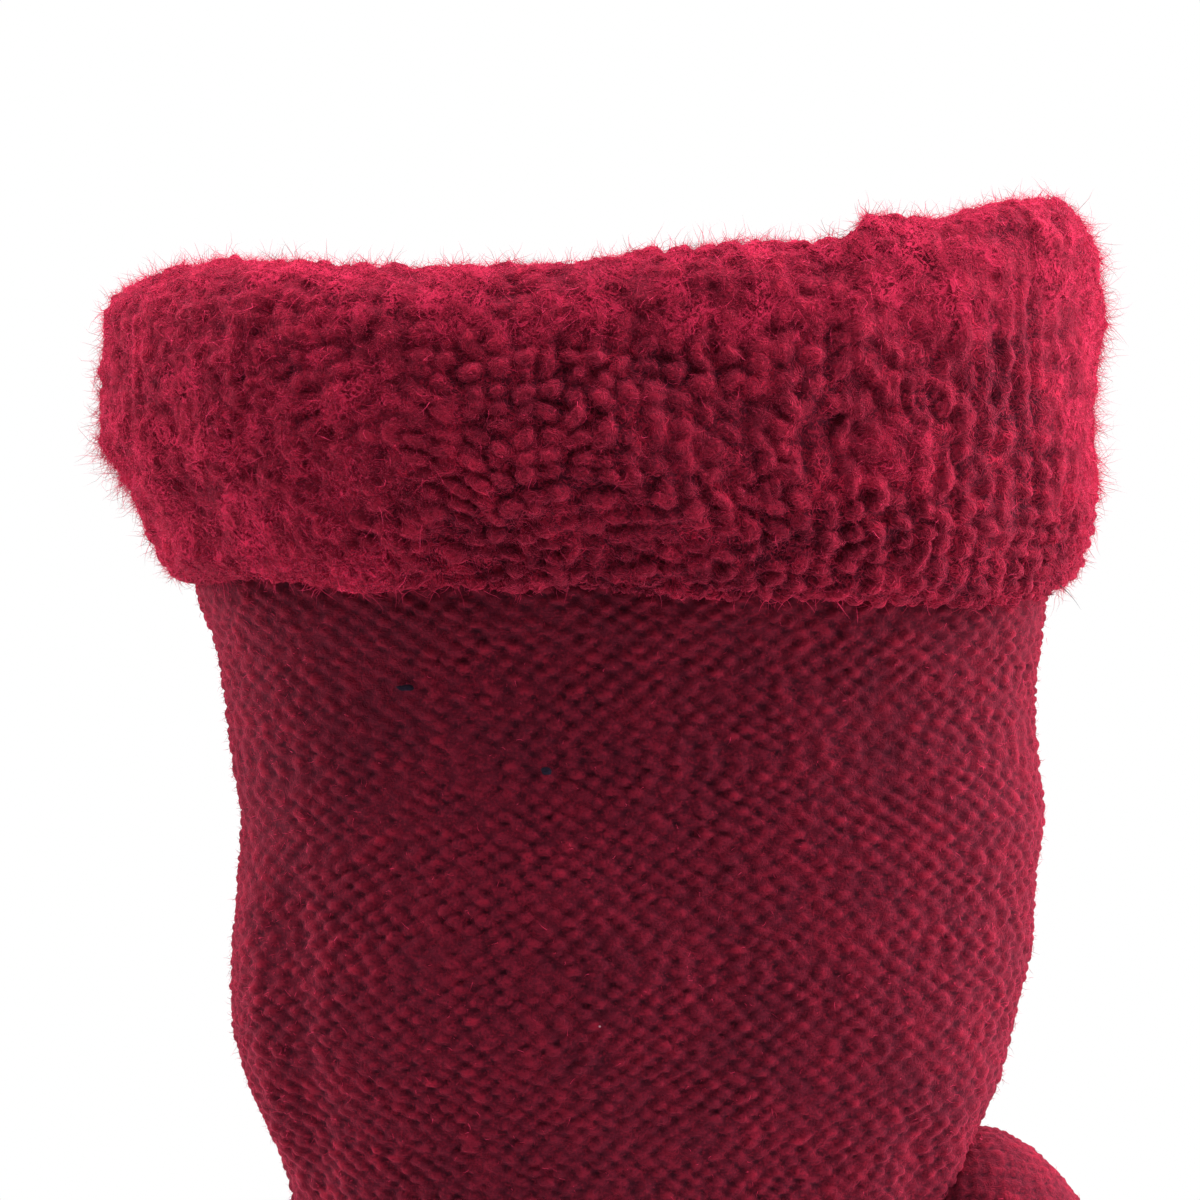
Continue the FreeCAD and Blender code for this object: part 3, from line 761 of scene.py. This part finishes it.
def brushed_flat(points):
    """Where the cuff's loops are brushed up into fuzz, 0 to 1."""
    x, y, z = points[..., 0], points[..., 1], points[..., 2]
    left = swell(-x, 12, 27) * (0.8 + 0.3 * drift(points, 7.0, 51))
    top = swell(z, -9.5, -4.5) * (0.85 + 0.3 * drift(points, 5.0, 56))
    right = swell(x, 34, 40) * swell(z, -25, -20)
    spots = swell(drift(points, 8.0, 52), 0.2, 0.65) * 0.7
    behind = swell(y, 2, 12) * 0.55
    return np.clip(np.maximum.reduce([left, top, right, spots, behind]), 0, 1)


# kind, how many, shortest and longest, seed, half thickness, joints
FLUFF_KINDS = ("curls", 12000, (1.0, 2.9), 61, 0.026, 3), ("down", 19500, (0.5, 1.3), 71, 0.024, 2)
BACK_FLUFF = 0.36  # how much of it the palm side of the cuff has


def cuff_piece(front):
    """The turned-up cuff's front or back: its loops, and curls, down and haze over them."""
    word = "front" if front else "back"
    turns = side_turns(front, 0.34, 0.5, CUFF_AROUND * CUFF_WALE)
    path = through(CUFF, 176)
    base, _ = sections(path, turns)
    x, y, z = base[..., 0], base[..., 1], base[..., 2]
    height = swell(z, -24, -3)
    hem_wave = 0.45 * drift(base, 9.0, 57) - 0.03 * x
    base[..., 2] = z + crown_lift(x, y) * height + (1 - height) * hem_wave
    streaks = drift(base, (2.3, 4.0, 8.0), 58) + 0.6 * drift(base, (1.2, 3.0, 5.0), 68)
    wave = 0.6 * drift(base, 12.0, 53) + 0.35 * drift(base, 5.0, 59) + 0.4 * streaks * swell(-x, 14, 28)
    lump = 1.3 * np.exp(-(((x + 39.5) / 3.0) ** 2) - (((z + 27.5) / 2.2) ** 2))
    base = base + facing(base) * (wave + lump)[..., None]
    along = run_along(path)
    run = np.broadcast_to(along[:, None], z.shape)
    a = np.broadcast_to(turns[None, :] * CUFF_AROUND, z.shape) + 0.5 * drift(base, 11.0, 55)
    b = run / CUFF_COURSE + 0.55 * drift(base, 12.0, 54)
    soft = brushed_flat(base)
    inner = 1 - swell(run, 6, 14)
    relief = bobbles(a, b, soft) * (1 - 0.6 * inner) * (0.8 + 0.3 * drift(base, 9.0, 60))
    relief = relief + 0.26 * drift(base, 0.85, 64) + 0.12 * drift(base, 1.7, 65) * (1 + 1.5 * soft)
    parted = swell(drift(base, (7.0, 9.0, 9.0), 69), -0.1, 0.5)
    valley = hump(((a + 0.5) % 1 - 0.5) * CUFF_WALE, 0, 0.36) * parted
    furrow = hump(((b + 0.5) % 1 - 0.5) * CUFF_COURSE, 0, 0.4) * swell(x, 25, 31)
    relief = relief - (0.42 * valley + 0.34 * furrow) * (1 - 0.8 * soft)
    stitches = np.stack([a * CUFF_WALE, b * CUFF_COURSE], -1)
    normal = facing(base)
    points = base + normal * relief[..., None]
    fields = (points, normal, relief, stitches, soft, base, inner, run)
    points, normal, relief, stitches, soft, base, inner, run = (v[:, TRIM:-TRIM] for v in fields)
    rows, columns = relief.shape
    edge = hump(normal[..., 1], 0, 0.5)
    # depth carries painted light into the colour: painted shade in the gaps between the loops, a painted
    # highlight where the surface turns side-on, and a painted glow where the loops are brushed up
    depth = np.clip((relief - GAP) / 1.25 + 0.28 * edge + 0.1 * soft, 0, 1).ravel()
    name = f"cuff_{word}"
    verts, maps = points.reshape(-1, 3), stitches.reshape(-1, 2)
    loops = mesh(name, verts, [grid_faces(rows, columns)], maps, PILE, depth)

    x, z = base[..., 0], base[..., 2]
    outer = (1 - swell(run, along[-1] - 4, along[-1] - 1)) * (1 - inner)
    tufts = 2.2 * np.exp(-(((x + 46) / 2.5) ** 2) - (((z + 19) / 3.5) ** 2))
    tufts = tufts + 0.8 * swell(x, 38, 41) * swell(z, -24, -18)
    weight = (0.22 + 0.6 * soft + tufts + 2.8 * edge) * (0.04 + outer) * np.clip(relief + 0.9, 0.1, 2)
    reach = (0.72 + 0.3 * soft + 0.35 * tufts) * (1 + 0.25 * drift(base, 6.0, 61))
    comb = (0, 0, -0.5)
    made = [loops]
    for kind, many, long, seed, thick, joints in FLUFF_KINDS:
        count = int(many * (1.0 if front else BACK_FLUFF))
        hairs = hair_piece(
            f"{name}_{kind}", points, normal, weight, count, long, seed + front, thick, joints, comb, reach
        )
        made.append(hairs)
    base, normal, soft, outer, edge = (v[::2, ::2] for v in (base, normal, soft, outer, edge))
    for layer in range(2):
        uneven = 0.2 * drift(base, 3.0, 62 + layer) + 0.2 * drift(base, 1.2, 66 + layer)
        lift = 0.22 + 0.24 * layer + uneven
        thick = np.clip(0.3 + 0.9 * soft - 0.3 * layer, 0, 1.0) * outer * (1 - 0.75 * edge)
        haze = base + normal * lift[..., None]
        faces = [grid_faces(*thick.shape)]
        made.append(mesh(f"{name}_haze_{layer}", haze.reshape(-1, 3), faces, None, HAZE, thick.ravel()))
    for thing in made:
        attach(thing, "wrist")
    return loops


for front in (True, False):
    cuff = cuff_piece(front)
    if front:
        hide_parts("cuff_pile", "cuff_ground", "cuff_hem")

# ------------------------------------------------------------------ lining, seen through the mouth

LINING = [
    (-13.0, -0.9, 34.0, 17.6, 2.3, 0),
    (-30.0, -0.6, 33.8, 17.4, 2.3, 0),
    (-50.0, 0.4, 32.6, 16.6, 2.3, 0),
    (-66.0, -0.2, 32.4, 16.4, 2.3, 0),
    (-78.0, -1.0, 29.6, 14.6, 2.3, 0),
    (-90.0, -0.2, 27.2, 13.4, 2.3, 0),
    (-110.0, 0.2, 30.0, 12.4, 2.4, 0),
    (-135.0, 0.0, 33.6, 10.0, 2.6, 0),
    (-150.0, 0.0, 34.6, 8.4, 2.8, 0),
    (-156.0, 0.0, 30.0, 1.0, 2.8, 0),
]


def lining_piece():
    """The brushed lining: a bag, open at the mouth, whose pile faces inwards."""
    columns = 220
    c = np.arange(columns)
    path = through(LINING, 200)
    base, _ = sections(path, c / columns - 0.5)
    relief = 0.55 * drift(base, 1.6, 81) + 0.4 * drift(base, 4.5, 82)
    points = base - facing(base, True) * (0.5 * relief)[..., None]
    along = -base[..., 2]
    turn = np.broadcast_to(c[None, :] / columns * AROUND * WALE, along.shape)
    stitches = np.stack([turn, along], -1).reshape(-1, 2)
    # depth carries painted shade into the colour: darker where the lining dips away from the inside,
    # lighter where it swells inward
    depth = np.clip(0.55 + 0.45 * relief.ravel(), 0, 1)
    faces = [grid_faces(*relief.shape, True)[:, ::-1]]
    verts, last = points.reshape(-1, 3), (len(path) - 1) * columns
    faces.append(np.stack([np.full(columns, len(verts)), last + c, last + (c + 1) % columns], -1))
    verts = np.concatenate([verts, points[-1:].mean(1)])
    stitches, depth = np.concatenate([stitches, stitches[-1:]]), np.append(depth, 0.5)
    made = mesh("inner_lining", verts, faces, stitches, BRUSHED, depth)
    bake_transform(made)
    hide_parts("wrist_lining", "hand_lining")
    seen = 90  # rows that show through the mouth
    inward = -facing(points, True)[:seen]
    weight = np.ones(inward.shape[:2])
    nap = hair_piece("lining_nap", points[:seen], inward, weight, 4500, (0.6, 1.6), 83)
    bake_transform(nap)


lining_piece()


def care_label():
    """A blank satin label, hung by its top, a little curled."""
    low, high = (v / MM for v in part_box("care_label"))
    wide, tall = high.x - low.x, high.z - low.z
    bpy.ops.object.select_all(action="DESELECT")
    bpy.ops.mesh.primitive_grid_add(x_subdivisions=26, y_subdivisions=44, size=1)
    label = bpy.context.object
    label.name = "woven_label"
    for vertex in label.data.vertices:
        u, v = vertex.co.x, 0.5 - vertex.co.y
        sag = 0.35 * math.sin(5.0 * u + 2.0 * v) * v + 1.1 * v * v * (0.4 + abs(u))
        toward = -1 if low.y > 0 else 1
        y = (low.y if low.y > 0 else high.y) + toward * (0.15 + sag)
        vertex.co = Vector(((low.x + high.x) / 2 + u * wide, y, high.z - v * tall)) * MM
    solid = label.modifiers.new("cloth", "SOLIDIFY")
    solid.thickness = 0.3 * MM
    solid.offset = 0
    soft = label.modifiers.new("edge", "BEVEL")
    soft.width, soft.segments, soft.limit_method = 0.08 * MM, 2, "ANGLE"
    for modifier in ("cloth", "edge"):
        bpy.ops.object.modifier_apply(modifier=modifier)
    label.data.shade_smooth()
    label.data.materials.append(satin_ribbon())
    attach(label, "wrist")
    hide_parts("care_label")


care_label()
ELASTIC = covered_elastic()
for number in range(3):
    thread = frame["nodes"][f"elastic_{number}"]
    thread.data.materials.clear()
    thread.data.materials.append(ELASTIC)

# ------------------------------------------------------------------ fingers and thumb

JOINTS = {joint["name"]: joint for joint in frame["joints"]}
# radius at the root, at the middle and near the end, and how flat each lies from front to back
FINGERS = {
    "index": (9.7, 9.2, 8.6, 0.90),
    "middle": (9.9, 9.4, 8.8, 0.90),
    "ring": (9.5, 9.0, 8.4, 0.90),
    "little": (8.7, 8.2, 7.6, 0.90),
    "thumb": (10.4, 9.9, 9.2, 0.92),
}


def digit_frame(digit):
    """The digit's root fold, its direction down its length, and the length to its middle fold."""
    root = Vector(JOINTS[f"{digit}_root_fold"]["pos_m"]) / MM
    middle = Vector(JOINTS[f"{digit}_middle_fold"]["pos_m"]) / MM
    return np.array(root), np.array((middle - root).normalized()), (middle - root).length


DIGIT_HAIRS = 1200
DIGIT_COLUMNS = 132


def digit_piece(name, digit, stations, rows, first_course, seed):
    """A round run of knitting down a digit, closed at both ends, and its loose hairs. Stations
    are (distance past the root fold, side shift, half width, half depth, squareness, 0)."""
    root, way, _ = digit_frame(digit)
    side = np.cross(Y_AXIS, -way)
    count = 28 if digit == "thumb" else 26
    turns = np.arange(DIGIT_COLUMNS) / DIGIT_COLUMNS
    path = through(stations, rows)
    flipped = path.copy()
    flipped[:, 0] = -path[:, 0]
    local, length = sections(flipped, turns - 0.5)
    along = -local[..., 2]
    base = root + local[..., :1] * side + local[..., 1:2] * Y_AXIS + along[..., None] * way
    wave = 0.5 * drift(base, 11.0, 90) * swell(path[:, 2], 1.0, 5.0)[:, None]
    base = base + facing(base, True) * wave[..., None]
    down = run_along(path) / COURSE
    a = np.broadcast_to(turns[None, :] * count, along.shape)
    b = np.broadcast_to((first_course + down)[:, None], along.shape)
    b = b + 0.3 * np.sin(TURN * turns[None, :] + seed)
    wide = (length / count)[:, None]
    relief, shade = purl(a, b, wide, count)
    relief = relief * np.clip(wide / WALE, 0.1, 1)
    stitches = np.stack([a * WALE, b * COURSE], -1)
    made, points, outward, relief = knit_piece(name, base, stitches, relief, shade, KNIT, closed=True)
    weight = np.clip(relief + 0.35, 0.05, 1)
    loose = hair_piece(f"{name}_hairs", points, outward, weight, DIGIT_HAIRS, HAIR_LONG, seed)
    return made, loose, first_course + down[-1]


def yarn_ring(name, centre, way, radius, thick):
    """A drawn-up ring of two strands of yarn, twisted round each other."""
    around, ring, twists = 108, 7, 9
    e1 = np.cross(way, Y_AXIS)
    e2 = np.cross(way, e1)
    verts, faces = [], []
    t = np.arange(around) / around * TURN
    out = np.cos(t)[:, None] * e1 + np.sin(t)[:, None] * e2
    for ply in (0, math.pi):
        spin = twists * t + ply
        rise = way * (0.5 * thick * np.sin(spin))[:, None]
        middle = centre + out * (radius + 0.5 * thick * np.cos(spin))[:, None] + rise
        angle = np.arange(ring) / ring * TURN
        around_it = np.cos(angle)[None, :, None] * out[:, None] + np.sin(angle)[None, :, None] * way
        first = sum(len(v) for v in verts)
        verts.append((middle[:, None] + 0.56 * thick * around_it).reshape(-1, 3))
        r, c = np.arange(around)[:, None], np.arange(ring)[None, :]
        r2, c2 = (r + 1) % around, (c + 1) % ring
        quads = np.stack([r * ring + c, r * ring + c2, r2 * ring + c2, r2 * ring + c], -1).reshape(-1, 4)
        faces.append(first + quads)
    verts = np.concatenate(verts)
    depth = np.full(len(verts), 0.75)
    return mesh(name, verts, faces, np.zeros((len(verts), 2)), KNIT, depth)


def oval(distance, half_width, flat, square):
    """A station of a digit: no side shift, and flatter from front to back than it is wide."""
    return distance, 0, half_width, half_width * flat, square, 0


THUMB_START = [
    (-44.6, 0, 0.5, 0.5, 2, 0),
    (-44.0, 0, 4.2, 4.2, 2, 0),
    (-41.6, 0, 7.0, 7.4, 2, 0),
    (-37.4, 0, 8.8, 9.4, 2, 0),
    (-30.0, 0.2, 9.4, 10.0, 2, 0),
    (-14.0, 0, 10.2, 10.2, 2, 0),
]

for number, (digit, (r0, r1, r2, flat)) in enumerate(FINGERS.items()):
    root, way, reach = digit_frame(digit)
    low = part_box(f"{digit}_tip_shell")[0]
    end = ((low.z / MM) - root[2]) / way[2] - 0.1
    if digit == "thumb":
        start, rows = THUMB_START, 170
    else:
        start = [(-15.0, 0, 0.5, 0.5, 2, 0), (-14.4, 0, r0 * 0.8, r0 * flat * 0.8, 2, 0)]
        start, rows = [*start, oval(-6.0, r0, flat, 2.1)], 96
    half = reach * 0.52
    waist = oval(half, (r0 + r1) / 2, flat, 2.1)
    upper = [*start, oval(4.0, r0, flat, 2.1), waist]
    lower = [
        waist,
        oval(reach, r1, flat, 2.1),
        oval((reach + end) / 2 - 2, (r1 + r2) / 2, flat, 2.1),
        oval(end - r2 * 0.95, r2, flat, 2.05),
        oval(end - r2 * 0.42, r2 * 0.86, flat, 2.0),
        oval(end - r2 * 0.10, r2 * 0.46, flat, 2.0),
        (end, 0, 0.5, 0.5, 2.0, 0),
    ]
    base, hairs, course = digit_piece(f"{digit}_base", digit, upper, rows, 3.0 * number, 101 + number)
    for thing in (base, hairs):
        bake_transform(thing)
    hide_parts(f"{digit}_root_shell", f"{digit}_root_lining")
    rows = int((end - half + 4) / 0.38)
    point, hairs, _ = digit_piece(f"{digit}_end", digit, lower, rows, course, 111 + number)
    for thing in (point, hairs):
        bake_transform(thing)
    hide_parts(f"{digit}_tip_shell", f"{digit}_tip_lining")
    ring = yarn_ring(f"{digit}_drawn_ring", root + way * (end - 0.1), way, 2.1, 0.62)
    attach(ring, f"{digit}_tip")
    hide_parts(f"{digit}_gather")

# ------------------------------------------------------------------ lint and a stray hair


def lint(name, x, z, size, colour, body="wrist"):
    """A crumb of lint caught in the knit: a small rough pellet, squashed against it."""
    points, outward = SLEEVE_FRONT
    flat = points.reshape(-1, 3)
    nearest = np.argmin((flat[:, 0] - x) ** 2 + (flat[:, 2] - z) ** 2)
    centre, way = flat[nearest], outward.reshape(-1, 3)[nearest]
    bpy.ops.object.select_all(action="DESELECT")
    bpy.ops.mesh.primitive_ico_sphere_add(subdivisions=3, radius=1)
    crumb = bpy.context.object
    crumb.name = name
    for vertex in crumb.data.vertices:
        p = np.array(vertex.co)
        p = p * (1 + 0.35 * drift(p[None] * size[0] + centre, 0.5, 7)[0])
        p = p * np.array([size[0], size[1] * 0.5, size[1]])
        vertex.co = Vector(centre + way * 0.1 + p) * MM
    crumb.data.shade_smooth()
    dark, pale = (tuple(share * c for c in colour) for share in (0.6, 1.5))
    finish = wool(f"{name}_wool", dark, colour, pale, fluff=0.2, sheen=0)
    crumb.data.materials.append(finish)
    crumb.data.uv_layers.new(name="stitches")
    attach(crumb, body)


lint("lint_left", -19.6, -37.8, (0.8, 0.26), (0.016, 0.010, 0.020))
lint("lint_middle", -7.7, -44.9, (0.5, 0.32), (0.018, 0.012, 0.024))
lint("lint_pale", -3.0, -67.2, (0.13, 0.13), (0.42, 0.26, 0.30))
lint("lint_low", -18.7, -83.8, (0.9, 0.30), (0.018, 0.012, 0.024), "hand")


def stray_hair():
    """One thin grey hair that sticks out from under the hem at the thumb's side."""
    rows, sides = 9, 5
    t = np.linspace(0, 1, rows)[:, None]
    root, reach, sag = np.array([(37.6, -8.0, -29.6), (1.9, -0.3, -2.2), (0.3, 0, 0.5)])
    middle = root + t * reach + t * (1 - t) * sag
    angle = np.arange(sides) / sides * TURN
    ring = np.cos(angle)[:, None] * np.array([0.7, 0, 0.7]) + np.sin(angle)[:, None] * Y_AXIS
    points = middle[:, None] + 0.05 * (1.1 - t[..., None]) * ring[None]
    faces = [grid_faces(rows, sides, True)[:, ::-1], pole_faces(rows, sides)[:, ::-1]]
    maps = np.zeros((rows * sides + 2, 2))
    grey = (0.12, 0.11, 0.11)
    finish = wool("grey_hair", grey, grey, grey, fluff=0, sheen=0, rough=0.5)
    hair = mesh("stray_hair", with_poles(points), faces, maps, finish)
    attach(hair, "wrist")


stray_hair()

# ------------------------------------------------------------------ light, floor and finish


def light(name, place, target, size, power):
    data = bpy.data.lights.new(name, "AREA")
    data.size, data.energy = size, power
    lamp = bpy.data.objects.new(name, data)
    lamp.location = place
    lamp.rotation_euler = (Vector(target) - Vector(place)).to_track_quat("-Z", "Y").to_euler()
    bpy.context.scene.collection.objects.link(lamp)


light("left_softbox", (-0.55, 0.10, 0.10), (0, 0, -0.05), 0.5, 8.0)
light("right_softbox", (0.55, 0.05, 0.10), (0, 0, -0.05), 0.5, 11.0)
light("top_softbox", (0.05, -0.06, 0.55), (0, 0, -0.03), 0.5, 10.0)
light("front_fill", (0.1, -0.75, 0.62), (0, 0, -0.06), 0.6, 0.9)
light("low_right", (0.56, -0.24, -0.08), (0.025, 0, -0.075), 0.4, 2.0)


def studio_world():
    """White all round to look at; dimmer towards the front, so the sides and top light the knit."""
    world = bpy.data.worlds.new("studio")
    bpy.context.scene.world = world
    world.use_nodes = True
    t = Tree(world.node_tree)
    way = t.node("ShaderNodeTexCoord").outputs["Generated"]
    parts = t.node("ShaderNodeSeparateXYZ")
    t.link(way, parts.inputs[0])
    behind = t.ramp(parts.outputs["Y"], -0.9, 0.6)
    glow = t.mix(behind, (0.10, 0.10, 0.11, 1.0), (0.80, 0.81, 0.83, 1.0))
    seen = t.node("ShaderNodeLightPath").outputs["Is Camera Ray"]
    shade = t.node("ShaderNodeBackground")
    t.link(t.mix(seen, glow, (1.0, 1.0, 1.0, 1.0)), shade.inputs["Color"])
    t.link(shade.outputs[0], t.node("ShaderNodeOutputWorld").inputs[0])


studio_world()
bpy.context.scene.view_settings.view_transform = "Standard"


def floor():
    """A pale disc a little below the fingertips."""
    low = cad_box[0].z
    place = (0, 0, low - 0.012)
    bpy.ops.mesh.primitive_circle_add(vertices=96, radius=0.28, fill_type="NGON", location=place)
    ground = bpy.context.object
    ground.name = "floor"
    paper = bpy.data.materials.new("pale_floor")
    paper.use_nodes = True
    shader = paper.node_tree.nodes["Principled BSDF"]
    shader.inputs["Base Color"].default_value = (0.86, 0.86, 0.86, 1)
    shader.inputs["Roughness"].default_value = 0.8
    ground.data.materials.append(paper)


floor()
